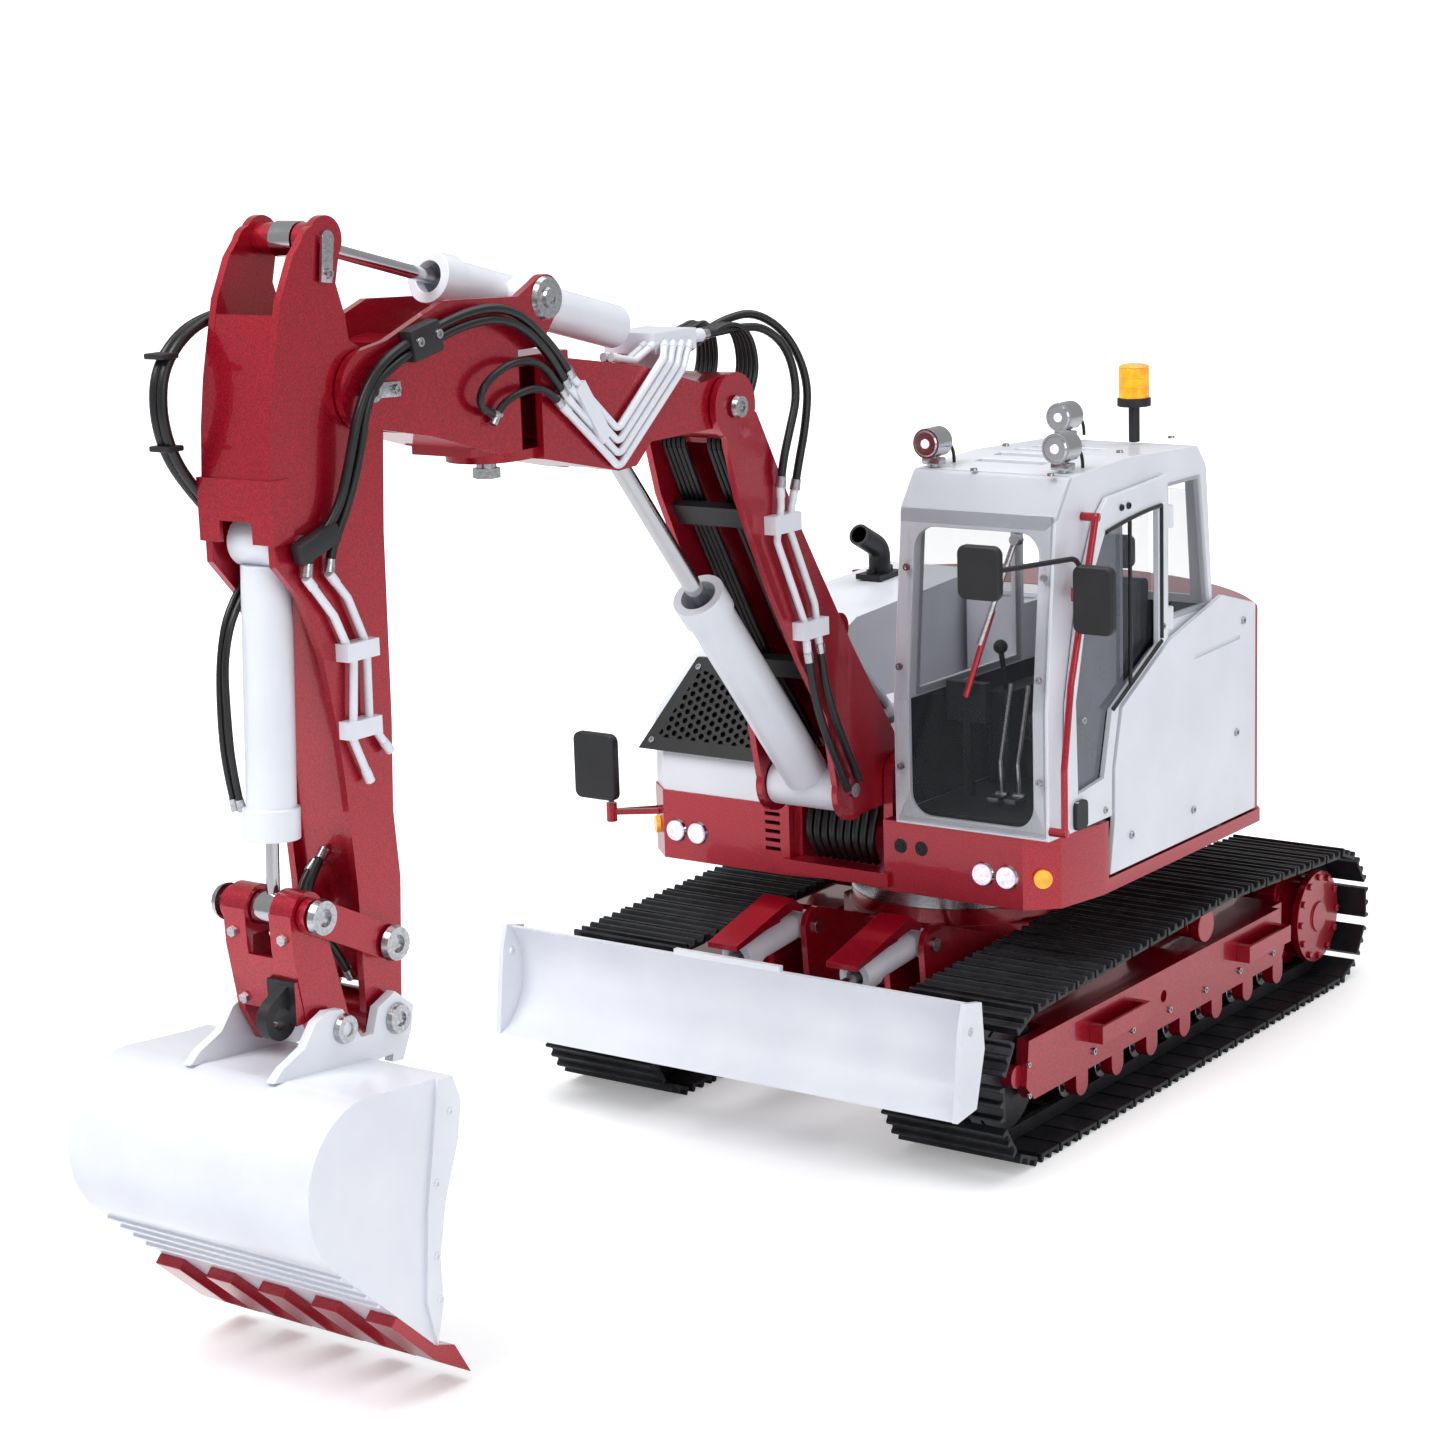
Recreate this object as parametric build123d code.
# Remote control hydraulic excavator, about 1:12: crawler undercarriage with a dozer blade,
# a turning house with cab, and a three-piece boom whose front piece also swings sideways.
# Millimetres, +X forward, +Y to the machine's left (the cab side), +Z up, ground at Z = 0.
# Everything is modelled about the slew axis (X = Y = 0) and shifted once, when it is written,
# so that the origin is the bottom centre of the whole machine's box.
from build123d import *
import os
from math import cos, hypot, sin

# ---------------------------------------------------------------- driving dimensions
FIT = 0.05             # radial clearance of a running pin
GAP = 0.3              # side clearance between pieces that move past each other

# crawler tracks
BELT_Y = 72.5          # middle of each belt from the middle of the machine
SHOE_W = 48.0
SHOE_COUNT = 46        # shoes on one belt
SPROCKET = (-123.5, 27.5)
SPROCKET_R = 21.9      # pitch radius
IDLER = (108.0, 28.1)
IDLER_R = 22.5
CARRIER = (-28.0, 47.3)
CARRIER_R = 5.2
SHOE_PHASE = 0.665     # where the first shoe lies, as a part of one pitch
RAIL_IN = 2.6          # chain rail, inwards from the pitch line
RAIL_OUT = 2.4         # and outwards, up to the shoe
SHOE_T = 1.3
GROUSER_H = 1.9
ROLLER_X = [68.0 - 25.5 * i for i in range(7)]
ROLLER_R = 5.0
ROLLER_Z = SPROCKET[1] - SPROCKET_R + RAIL_IN + GAP + ROLLER_R
FRAME_Y = 88.8         # outer face of the track frame's side cover

# house
DECK_BOTTOM = 79.0
DECK_TOP = 84.0
SILL_Z = 104.5         # top of the red skirts, where cab and covers stand
HOUSE_FRONT = 80.0
HOUSE_HALF = 90.0
TAIL_R = 112.0         # tail swing radius
BAY_HALF = 20.0        # half width of the bay that the boom stands in

# cab
CAB_Y0 = 26.0
CAB_Y1 = 87.0
CAB_WALL = 2.0
CAB_FRONT_LOW = 86.0
CAB_FRONT_HIGH = 79.0
CAB_REAR = -34.0
CAB_TOP = 226.0

# joint centres in the boom plane, (X, Z)
FOOT = (72.0, 118.0)
LIFT_BASE = (10.0, 98.0)
LIFT_EYE = (90.0, 172.0)
EAR = (98.5, 117.5)
KNUCKLE = (161.5, 257.0)
ADJUST_EYE = (208.0, 250.0)
SWING_X = 266.0
TRUNNION = (254.0, 299.0)
ARM_PIVOT = (333.0, 280.0)
ARM_TOP = (344.0, 322.0)
BUCKET_BASE = (361.0, 241.0)
ROCKER_FOOT = (337.0, 123.0)
ROCKER_EYE = (367.0, 138.0)
BUCKET_PIN = (338.0, 101.0)
LINK_PIN = (360.0, 104.0)
LIFT_RING = (376.5, 110.0)

# half widths of the boom pieces
LOWER_HALF = 17.0
UPPER_HALF = 14.2
FRONT_HALF = 15.8
ARM_HALF = 12.9
PLATE = 2.4            # boom plate thickness
PIN_R = 2.5
SMALL_PIN_R = 2.0

# hydraulic cylinders: barrel radius, bore, gland hole, rod radius
BIG_CYL = (8.0, 6.8, 6.1, 3.1)
ARM_CYL = (6.8, 5.9, 4.6, 2.0)
BUCKET_CYL = (7.1, 6.1, 5.3, 1.9)
LIFT_CYL = (8.0, 6.6, 4.4, 3.0)
SWING_CYL = (6.0, 5.1, 4.4, 2.0)
DOZER_CYL = (5.2, 4.2, 3.4, 2.0)
SWING_CYL_Y = -30.0
SWING_CYL_EYE = (306.0, 269.0)
SWING_ROD_EYE = (222.0, 261.0)

# rigid oil pipes on the boom's left side and top, (X, Z) points
PIPE_R = 1.2
PIPE_BEND = 3.0
SLEEVE = (1.4, 4.0)    # end fitting: radius and length
LOWER_PIPES = [
    [(141, 229), (141, 222), (144, 211), (129, 181), (128, 171)],
    [(133, 227), (137, 215), (123, 187), (121, 173)],
]
ARM_PIPES = [
    [(362, 232), (352, 220), (345, 206), (347, 184), (341, 171)],
    [(353, 232), (346, 224), (339.5, 210), (340, 188), (332, 178)],
]
CHANNEL_HOSE_R = 0.9
CHANNEL_ROUTE = [
    (160, 243), (156, 235), (148.4, 220.8), (135, 198), (123, 178),
    (112.2, 162.4), (102, 150), (92, 137), (86, 129),
]
MANIFOLD = (172.0, 194.0, 276.5, 283.0)
TOP_PIPE_Y = [5.8, 8.8]

# bucket
BUCKET_HALF = 46.0
BUCKET_T = 2.0
BUCKET_FRONT = 408.0   # foremost point of the whole machine
LINK_PLAY = 1.3        # radial play of the power link on the bucket's pin
TOOTH_Y = [-41.0, -20.5, 0.0, 20.5, 41.0]

# dozer
DOZER_PIVOT = (72.0, 27.0)
DOZER_CYL_BASE = (75.0, 58.5)
DOZER_CYL_EYE = (133.0, 53.0)
DOZER_ARM_Y = 25.0
BLADE_HALF = 96.0

# mirrors, lamps and small cab pieces
MIRROR_REACH = 111.0   # outer edge of the outermost mirror on each side
MIRROR_FRONT_AXIS = (73.5, 92.5)
MIRROR_SIDE_AXIS = (71.5, 96.0)
MIRROR_RIGHT_AXIS = (88.6, -97.2)
BEACON = (-14.0, 66.0)
LAMP_SPOTS = [(65, 31, 226.4), (62, 80, 226.5), (-14, 38, 226.9)]
LAMP_Y = [60.5, 70.0]
LAMP_Z = 90.0
SCREEN_NORMAL = (cos(0.1065), 0.0, sin(0.1065))
WIPER_HUB = (81.3, 74.0, 206.0)
LEVER_FOOT = (60.0, 111.4)
LEVER_Y = {"left": 60.5, "right": 53.5}
CLAMP_BARS = [(152.0, 220.0), (116.5, 163.0)]

# the machine's box, which sets the origin
REAR_X = SPROCKET[0] - SPROCKET_R - RAIL_OUT - SHOE_T - GROUSER_H
FRONT_X = BUCKET_FRONT
SHIFT_X = -(REAR_X + FRONT_X) / 2


# ---------------------------------------------------------------- small helpers
def disc(x, z, r):
    return Pos(x, z) * Circle(r)


def poly(*points):
    return make_face(Polyline(*points, close=True))


def hull(*discs):
    edges = [e for x, z, r in discs for e in disc(x, z, r).edges()]
    return make_hull(edges)


def plate(sketch, y0, y1):
    """A side-view sketch (X, Z) made solid from y0 to y1."""
    return Pos(0, y0, 0) * extrude(Plane.XZ * sketch, amount=y0 - y1)


def plates(sketch, half, thick):
    """The same plate on both sides of the middle."""
    return plate(sketch, half - thick, half) + plate(sketch, -half, thick - half)


def flat(sketch, z0, z1):
    """A plan-view sketch (X, Y) made solid from z0 to z1."""
    return Pos(0, 0, z0) * extrude(sketch, amount=z1 - z0)


def block(x0, x1, y0, y1, z0, z1):
    return Pos(x0, y0, z0) * Box(x1 - x0, y1 - y0, z1 - z0, align=(Align.MIN,) * 3)


def bar(start, end, radius):
    a = Vector(*start)
    b = Vector(*end)
    return Plane(origin=a, z_dir=b - a) * extrude(Circle(radius), amount=(b - a).length)


def pin(centre, radius, y0, y1):
    return plate(disc(*centre, radius), y0, y1)


def rounded(sketch, radius):
    return fillet(sketch.vertices(), radius)


def toward(a, b, distance):
    """The point at that distance from a on the way to b."""
    length = hypot(b[0] - a[0], b[1] - a[1])
    return (a[0] + (b[0] - a[0]) * distance / length, a[1] + (b[1] - a[1]) * distance / length)


def spread(places, sketch):
    """One sketch with a copy at every place."""
    return Sketch() + [place * sketch for place in places]


def at_y(point, y):
    return (point[0], y, point[1])


def wire_rod(points, radius, bend):
    """A bent round bar along straight runs with tangent arcs."""
    path = FilletPolyline(*points, radius=bend)
    start = Plane(origin=path @ 0, z_dir=path % 0)
    return sweep(start * Circle(radius), path=path)


NODES = {}


def node(name, *shapes):
    """Keep the solids of one named piece."""
    solids = [s for shape in shapes for s in shape.solids()]
    NODES[name] = solids


# ---------------------------------------------------------------- undercarriage
def belt_face(extra):
    """The loop that the chain follows, grown outwards by extra."""
    over = CARRIER_R + GAP + RAIL_IN
    return hull(
        (*SPROCKET, SPROCKET_R + extra),
        (*IDLER, IDLER_R + extra),
        (*CARRIER, over + extra),
    )


def shoe_outline(middle, along, length):
    """Side view of one triple-grouser shoe, standing outwards from the loop."""
    out = (-along[1], along[0])
    if out[0] * (middle[0] - 0) + out[1] * (middle[1] - SPROCKET[1]) < 0:
        out = (-out[0], -out[1])
    top = RAIL_OUT + SHOE_T
    tip = top + GROUSER_H
    half = length / 2
    rib = length / 10
    steps = [(-half, RAIL_OUT), (-half, tip), (-half + rib, tip), (-half + 1.6 * rib, top)]
    steps += [(-1.1 * rib, top), (-0.5 * rib, tip), (0.5 * rib, tip), (1.1 * rib, top)]
    steps += [(half - 1.6 * rib, top), (half - rib, tip), (half, tip), (half, RAIL_OUT)]
    points = [
        (middle[0] + s * along[0] + h * out[0], middle[1] + s * along[1] + h * out[1])
        for s, h in steps
    ]
    return poly(*points)


def belt():
    """Shoes, chain rails and chain pins of the left belt; no grouser reaches below the ground."""
    loop = belt_face(0).wire()
    pitch = loop.length / SHOE_COUNT
    ground = poly((-200, 0), (200, 0), (200, -5), (-200, -5))
    pieces = []
    for i in range(SHOE_COUNT):
        spot = loop.position_at((i + SHOE_PHASE) / SHOE_COUNT)
        along = loop.tangent_at((i + SHOE_PHASE) / SHOE_COUNT)
        outline = shoe_outline((spot.X, spot.Y), (along.X, along.Y), pitch - 1.2)
        pieces.append(plate(outline - ground, BELT_Y - SHOE_W / 2, BELT_Y + SHOE_W / 2))
        knuckle = loop.position_at((i + SHOE_PHASE + 0.5) / SHOE_COUNT % 1)
        pieces.append(pin((knuckle.X, knuckle.Y), 1.1, BELT_Y - 7, BELT_Y + 7))
    band = belt_face(RAIL_OUT) - belt_face(-RAIL_IN)
    pieces.append(plate(band, BELT_Y + 7, BELT_Y + 9.5))
    pieces.append(plate(band, BELT_Y - 9.5, BELT_Y - 7))
    return pieces


def sprocket():
    """Toothed drive wheel with its bolted final drive drum."""
    tip = SPROCKET_R - 1.6
    notch = spread(PolarLocations(SPROCKET_R, 11), Circle(3))
    wheel = Circle(tip) - notch - Circle(12.4)
    drum = Circle(15.5)
    flange = Circle(18.2)
    centre = Pos(*SPROCKET)
    y = BELT_Y
    body = plate(centre * wheel, y - 4, y + 4)
    body += plate(centre * (drum - Circle(12.4)), y + 4, y + 7)
    body += plate(centre * drum, y + 7, y + 12)
    body += plate(centre * flange, y + 12, y + 15)
    body += plate(centre * Circle(6), y + 15, y + 15.8)
    bolts = plate(centre * spread(PolarLocations(15.9, 12), RegularPolygon(1.5, 6)), y + 15, y + 16.2)
    return [body, bolts]


def idler():
    """Front idler wheel with a central guide flange."""
    rim = IDLER_R - RAIL_IN - GAP
    centre = Pos(*IDLER)
    wheel = plate(centre * (Circle(rim) - Circle(4 + FIT)), BELT_Y - 10, BELT_Y + 10)
    guide = plate(centre * (Circle(rim + 1.6) - Circle(rim)), BELT_Y - 5.5, BELT_Y + 5.5)
    return [wheel + guide]


def rollers():
    """Bottom rollers and the carrier roller of the left side, on their axles."""
    z = ROLLER_Z
    pieces = []
    for x in ROLLER_X:
        drum = disc(x, z, ROLLER_R) - disc(x, z, 2)
        pieces.append(plate(drum, BELT_Y - 10, BELT_Y + 10))
        pieces.append(pin((x, z), 2, BELT_Y - 12.5, BELT_Y + 14))
    pieces.append(plate(disc(*CARRIER, CARRIER_R) - disc(*CARRIER, 2), BELT_Y - 10, BELT_Y + 10))
    pieces.append(pin(CARRIER, 2, BELT_Y - 16, BELT_Y + 11.5))
    pieces.append(pin(CARRIER, 6.2, BELT_Y + 11.5, BELT_Y + 15))
    return pieces


def cover_outline():
    """Side cover with a bump round each roller axle."""
    outline = poly((-88, 18.5), (101, 18.5), (106, 24), (104, 40), (-86, 40), (-91, 24))
    for x in ROLLER_X:
        outline += disc(x, ROLLER_Z + 1, 4.2)
        outline += Pos(x, 17) * Rectangle(8.4, 5)
    return outline


def track_frame():
    """Left side frame: beam, roller cheeks, side cover, steps, idler axle and travel motor."""
    axle_holes = [disc(x, ROLLER_Z, 2) for x in ROLLER_X]
    cheek = cover_outline() - axle_holes
    inner = plate(cheek, BELT_Y - 12.5, BELT_Y - 10.5)
    outer = plate(cheek - disc(*IDLER, 4), BELT_Y + 11.5, BELT_Y + 14)
    skin = plate(cover_outline() - disc(8, 30, 2.2), BELT_Y + 14, FRAME_Y)
    beam = block(-98, 83, BELT_Y - 10.5, BELT_Y + 11.5, 21, 39)
    horn = plate(hull((*IDLER, 7), (84, 30, 9)), BELT_Y - 13.5, BELT_Y - 10.5)
    axle = pin(IDLER, 4, BELT_Y - 13.5, BELT_Y + 14)
    tail = plate(hull((*SPROCKET, 14), (-92, 30, 10)), BELT_Y - 16, BELT_Y - 12.5)
    motor = pin(SPROCKET, 12, BELT_Y - 22, BELT_Y + 3)
    post = plate(hull((*CARRIER, 5), (CARRIER[0], 34, 7)) - disc(*CARRIER, 2), BELT_Y - 16, BELT_Y - 12.5)
    frame = inner + beam + horn + tail + post
    frame += block(-98, -86, BELT_Y - 12.5, BELT_Y - 10.5, 21, 39)
    steps = []
    for x in (28.0, -85.0):
        ledge = block(x, x + 35, FRAME_Y, FRAME_Y + 5.5, 28, 34.5)
        steps.append(ledge - block(x + 3, x + 32, FRAME_Y, FRAME_Y + 4.3, 29.5, 34.5))
    return [frame + outer + axle, skin, motor - frame, *steps]


def center_frame():
    """X-shaped car body between the two side frames, with the dozer's brackets."""
    inner_y = BELT_Y - 12.5
    core = flat(RegularPolygon(46, 8, rotation=22.5), 30, 54)
    collar = flat(Circle(42), 54, 60)
    legs = []
    for sx in (1, -1):
        for sy in (1, -1):
            outline = [(42, inner_y), (72, inner_y), (34, 14), (10, 34)]
            foot = poly(*[(sx * x, sy * y) for x, y in outline])
            legs.append(flat(foot, 26, 47))
    body = core + collar + legs
    cheeks = hull((*DOZER_CYL_BASE, 7), (*DOZER_PIVOT, 7), (40, 36, 10), (40, 48, 6))
    holes = disc(*DOZER_CYL_BASE, PIN_R) + disc(*DOZER_PIVOT, PIN_R)
    for sy in (1, -1):
        for shift in (-8.8, 6.4):
            y = sy * DOZER_ARM_Y + shift
            body += plate(cheeks, y, y + 2.4)
    slot_half = 6.4
    for sy in (1, -1):
        y = sy * DOZER_ARM_Y
        body -= block(60, 90, y - slot_half, y + slot_half, 10, 70)
        body -= plate(holes, y - 9, y + 9)
    pins = []
    for sy in (1, -1):
        y = sy * DOZER_ARM_Y
        pins.append(pin(DOZER_CYL_BASE, PIN_R, y - 10, y + 10))
        pins.append(pin(DOZER_PIVOT, PIN_R, y - 10, y + 10))
    return [body, *pins]


def slew_ring():
    """Fixed outer race, bolted to the car body."""
    race = flat(Circle(42) - Circle(34), 60, 68)
    bolts = flat(spread(PolarLocations(38.5, 16), RegularPolygon(1.6, 6)), 68, 69)
    return [race, bolts]


def build_undercarriage():
    node("center_frame", *center_frame())
    node("slew_ring", *slew_ring())
    makers = {"track": belt, "track_frame": track_frame, "sprocket": sprocket, "idler": idler}
    for name, maker in makers.items():
        pieces = maker()
        node(name + "_left", *pieces)
        node(name + "_right", *[mirror(piece, about=Plane.XZ) for piece in pieces])
    wheels = rollers()
    node("track_rollers", *wheels, *[mirror(wheel, about=Plane.XZ) for wheel in wheels])


# ---------------------------------------------------------------- dozer
def blade_section():
    """Hollow-faced mouldboard, seen from the side."""
    front = ThreePointArc((153.5, 67), (147.5, 48), (161.5, 29.5))
    back = ThreePointArc((159.6, 29.5), (145.2, 48), (151.2, 67))
    return make_face(front + Line(front @ 1, back @ 0) + back + Line(back @ 1, front @ 0))


def ahead_of_blade():
    """The space in front of the mouldboard's hollow face."""
    front = ThreePointArc((153.5, 67), (147.5, 48), (161.5, 29.5))
    corners = Polyline(front @ 1, (175, 29.5), (175, 67), front @ 0)
    return make_face(front + corners)


def dozer_blade():
    mould = plate(blade_section(), -BLADE_HALF + 2, BLADE_HALF - 2)
    lip = block(151.4, 153.4, -22, 22, 67, 69)
    end = poly((146, 66), (155.5, 68), (158, 60), (162, 29.5), (150, 31), (144.5, 50)) - disc(153, 58, 1.6)
    ends = plate(end, BLADE_HALF - 2, BLADE_HALF) + plate(end, -BLADE_HALF, 2 - BLADE_HALF)
    beam = block(138, 147, -60, 60, 33, 43) - plate(blade_section(), -61, 61)
    body = mould + lip + ends + beam
    lug = hull((*DOZER_CYL_EYE, 5), (144, 50, 8), (144, 40, 6))
    eye_hole = disc(*DOZER_CYL_EYE, PIN_R)
    arm = hull((*DOZER_PIVOT, 5.2), (100, 33, 6), (142, 38, 5.5))
    web = plate(poly((130, 36), (146, 36), (146, 60), (140, 44)), -1, 1)
    for y in (-DOZER_ARM_Y, DOZER_ARM_Y):
        body += plate(arm, y - 6, y + 6)
        body += plate(lug - eye_hole, y - 6.6, y - 4.2) + plate(lug - eye_hole, y + 4.2, y + 6.6)
        body -= pin(DOZER_PIVOT, PIN_R + FIT, y - 7, y + 7)
    body -= plate(hull((*DOZER_CYL_EYE, 6), (118, 54, 6)), -DOZER_ARM_Y - 4.2, 4.2 - DOZER_ARM_Y)
    body -= plate(hull((*DOZER_CYL_EYE, 6), (118, 54, 6)), DOZER_ARM_Y - 4.2, DOZER_ARM_Y + 4.2)
    body = body + web - plate(ahead_of_blade(), -60, 60)
    pins = [pin(DOZER_CYL_EYE, PIN_R, y - 6.6, y + 6.6) for y in (-DOZER_ARM_Y, DOZER_ARM_Y)]
    return [body, *pins]


# ---------------------------------------------------------------- hydraulic cylinders
def barrel(base, tip, sizes, length, y=0.0, eye=0.0, back=0.0):
    """Tube from back (behind the pivot) to length, with a closed tail and an open gland."""
    outer, bore, gland, _ = sizes
    a = at_y(base, y)
    start = at_y(toward(base, tip, -back if back else outer * 0.9), y)
    end = at_y(toward(base, tip, length), y)
    floor_spot = at_y(toward(base, tip, 2.5 - back if back else outer * 0.9 + 2.5), y)
    lip = at_y(toward(base, tip, length - 4), y)
    tube = bar(start, end, outer)
    tube += bar(at_y(toward(base, tip, length - 9), y), end, outer + 1)
    if eye:
        tube += pin(base, outer, y - eye, y + eye)
    tube -= bar(floor_spot, lip, bore)
    tube -= bar(lip, end, gland)
    return tube


def rod(eye_at, base, sizes, length, y=0.0, eye=4.0, eye_r=5.0, hole=PIN_R):
    """Rod that runs from its eye towards the barrel's pivot."""
    far = at_y(toward(eye_at, base, length), y)
    shaft = bar(at_y(eye_at, y), far, sizes[3])
    body = shaft + pin(eye_at, eye_r, y - eye, y + eye)
    return body - pin(eye_at, hole + FIT, y - eye - 1, y + eye + 1)


def dozer_cylinders():
    pieces = []
    for y in (-DOZER_ARM_Y, DOZER_ARM_Y):
        tube = barrel(DOZER_CYL_BASE, DOZER_CYL_EYE, DOZER_CYL, 38, y, eye=6.0)
        tube -= pin(DOZER_CYL_BASE, PIN_R + FIT, y - 7, y + 7)
        guard = poly((79, 66.5), (86, 71), (121, 62), (121, 60), (86, 66.5), (80, 64.5))
        shell = plate(guard, y - 6.3, y + 6.3)
        seat = poly((88, 66.6), (100, 63.6), (100, 59), (88, 60))
        pieces.append(tube)
        pieces.append(shell)
        pieces.append(plate(seat, y - 2, y + 2) - tube - shell)
    return pieces


def dozer_rods():
    return [
        rod(DOZER_CYL_EYE, DOZER_CYL_BASE, DOZER_CYL, 42, y, eye=3.9, eye_r=4.4)
        for y in (-DOZER_ARM_Y, DOZER_ARM_Y)
    ]


def build_dozer():
    node("dozer_blade", *dozer_blade())
    node("dozer_cylinders", *dozer_cylinders())
    node("dozer_rods", *dozer_rods())


# ---------------------------------------------------------------- house
def house_outline(inset=0.0):
    """Plan of the house: straight front, chamfered corners, round tail."""
    tail_x = -(TAIL_R**2 - HOUSE_HALF**2) ** 0.5
    nose = HOUSE_FRONT + 5
    half = HOUSE_HALF
    corner = [(tail_x, half), (54, half), (76, 86), (nose, 76), (nose, 20), (nose - 4, 0)]
    edges = [Line(a, b) for a, b in zip(corner, corner[1:])]
    edges += [mirror(edge, about=Plane.XZ) for edge in edges]
    edges.append(ThreePointArc((tail_x, half), (-TAIL_R, 0), (tail_x, -half)))
    face = make_face(edges)
    return offset(face, -inset) if inset else face


def house_frame():
    """Deck, red skirts with the boom bay's cheeks, cylinder lugs and mirror bracket."""
    outline = house_outline()
    deck = flat(outline, DECK_BOTTOM, DECK_TOP) - flat(Circle(30), DECK_BOTTOM, DECK_TOP)
    band = outline - house_outline(2.5)
    skirt = flat(band, DECK_TOP, SILL_Z)
    skirt &= block(50.2, 100, 0, 95, DECK_TOP, SILL_Z) + block(-63, 100, -95, 0, DECK_TOP, SILL_Z)
    skirt -= block(20, 100, -BAY_HALF, BAY_HALF, DECK_TOP, SILL_Z)
    lip = block(79, 87, -BAY_HALF - 2.5, BAY_HALF + 2.5, 80.5, 85.5)
    wall_0 = BAY_HALF
    wall_1 = BAY_HALF + 2.5
    walls = block(-30, 82, wall_0, wall_1, DECK_TOP, SILL_Z)
    walls += block(-30, 82, -wall_1, -wall_0, DECK_TOP, SILL_Z)
    cheek = hull((*FOOT, 8), (48, DECK_TOP + 1, 1), (80, DECK_TOP + 1, 1)) - disc(*FOOT, PIN_R)
    boss = LOWER_HALF + GAP
    body = deck + skirt + lip + walls
    body += plate(cheek, boss, wall_0 + 1) + plate(cheek, -wall_0 - 1, -boss)
    lug = hull((*LIFT_BASE, 6.5), (2, DECK_TOP, 1), (22, DECK_TOP, 1)) - disc(*LIFT_BASE, PIN_R)
    body += plate(lug, 8.8, 12) + plate(lug, -12, -8.8)
    for i in range(5):
        body -= block(70, 100, -30.5, -24, 87.5 + 3.2 * i, 88.9 + 3.2 * i)
    foot_pin = pin(FOOT, PIN_R, -wall_0 - 1.2, wall_0 + 1.2)
    lift_pin = pin(LIFT_BASE, PIN_R, -13, 13)
    plan = poly((72, -82), (76, -86), (89, -99), (90.5, -98), (80, -82))
    plan -= poly((75, -84), (86, -95), (79, -84))
    bracket = flat(plan, 93.5, 95.5)
    hinge_post = flat(Pos(88.6, -97.2) * Circle(2), 91, 98)
    return [body, foot_pin, lift_pin, bracket + hinge_post]


def cab_profile(inset=0.0):
    front = CAB_FRONT_LOW - inset
    high = CAB_FRONT_HIGH - inset
    top = CAB_TOP - inset
    rear = CAB_REAR + inset
    base = SILL_Z + inset
    side = poly(
        (rear, base), (front, base), (front, base + 44), (high, top - 12), (high - 9, top),
        (30, top + 2), (rear + 12, top), (rear + 5, top - 8), (rear, base + 60),
    )
    return side


def cab_shell():
    """White cab pressing, open at the windscreen, the door, the right window and the rear quarter."""
    shell = plate(cab_profile(), CAB_Y0, CAB_Y1)
    shell = fillet(shell.edges().filter_by(Axis.Y, tolerance=0.1).sort_by(Axis.Z)[-6:], 3)
    shell -= plate(cab_profile(CAB_WALL), CAB_Y0 + CAB_WALL, CAB_Y1 - CAB_WALL)
    side_opening = poly((8, 108), (75.5, 108), (74, 151), (64, 190), (54, 209), (8, 214))
    shell -= plate(side_opening, CAB_Y1 - 3, CAB_Y1 + 1)
    shell -= plate(poly((-29, 168), (0, 168), (0, 214), (-22, 214)), CAB_Y0 - 1, CAB_Y1 + 1)
    shell -= plate(poly((6, 150), (72, 150), (66, 208), (6, 212)), CAB_Y0 - 1, CAB_Y0 + 3)
    screen = Pos(0, CAB_Y0 + 30.5, 158) * Box(300, 49, 100, align=(Align.MIN, Align.CENTER, Align.CENTER))
    shell -= Pos(40, 0, 0) * fillet(screen.edges().filter_by(Axis.X), 8)
    rear = block(-40, -20, CAB_Y0 + 8, CAB_Y1 - 8, 170, 212)
    shell -= rear
    for i in range(4):
        shell -= block(6 + 13 * i, 12 + 13 * i, CAB_Y0 + 12, CAB_Y0 + 40, CAB_TOP - 4, CAB_TOP + 4)
    return shell


def cab_glazing():
    """Screwed windscreen, rain visor, right window, rear quarter and rear pane."""
    low = (CAB_FRONT_LOW, SILL_Z + 1)
    bend = (CAB_FRONT_LOW, SILL_Z + 44)
    high = (CAB_FRONT_HIGH, CAB_TOP - 12)
    sheet = poly(low, (low[0] + 1.2, low[1]), (bend[0] + 1.2, bend[1]), (high[0] + 1.2, high[1]), high, bend)
    screen = plate(sheet, CAB_Y0 + 1, CAB_Y1 - 1)
    visor = poly((81, 213.5), (90, 211), (90.5, 212.2), (72.5, 227), (71.6, 226.2))
    inside = CAB_Y0 + CAB_WALL
    right = plate(poly((4, 148), (75, 148), (69, 210), (4, 214)), inside + 0.1, inside + 1.1)
    quarter = plate(poly((-30, 166.5), (1, 166.5), (1, 215.5), (-22.5, 215.5)), CAB_Y1 + 0.1, CAB_Y1 + 0.9)
    rear = Pos(CAB_REAR - 1.2, CAB_Y0 + 4, 168) * Box(1, CAB_Y1 - CAB_Y0 - 8, 40, align=(Align.MIN,) * 3)
    return [screen, plate(visor, CAB_Y0 - 1, CAB_Y1 + 2), right, quarter, rear]


def door_outline(inset=0.0):
    outline = poly(
        (46.6, 105.5), (78, 105.5), (76, 150), (66, 190), (56, 210), (48, 216.5), (5, 219),
        (5, 161.2), (40.8, 143.2), (46.2, 122),
    )
    return offset(outline, -inset, kind=Kind.INTERSECTION) if inset else outline


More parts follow.
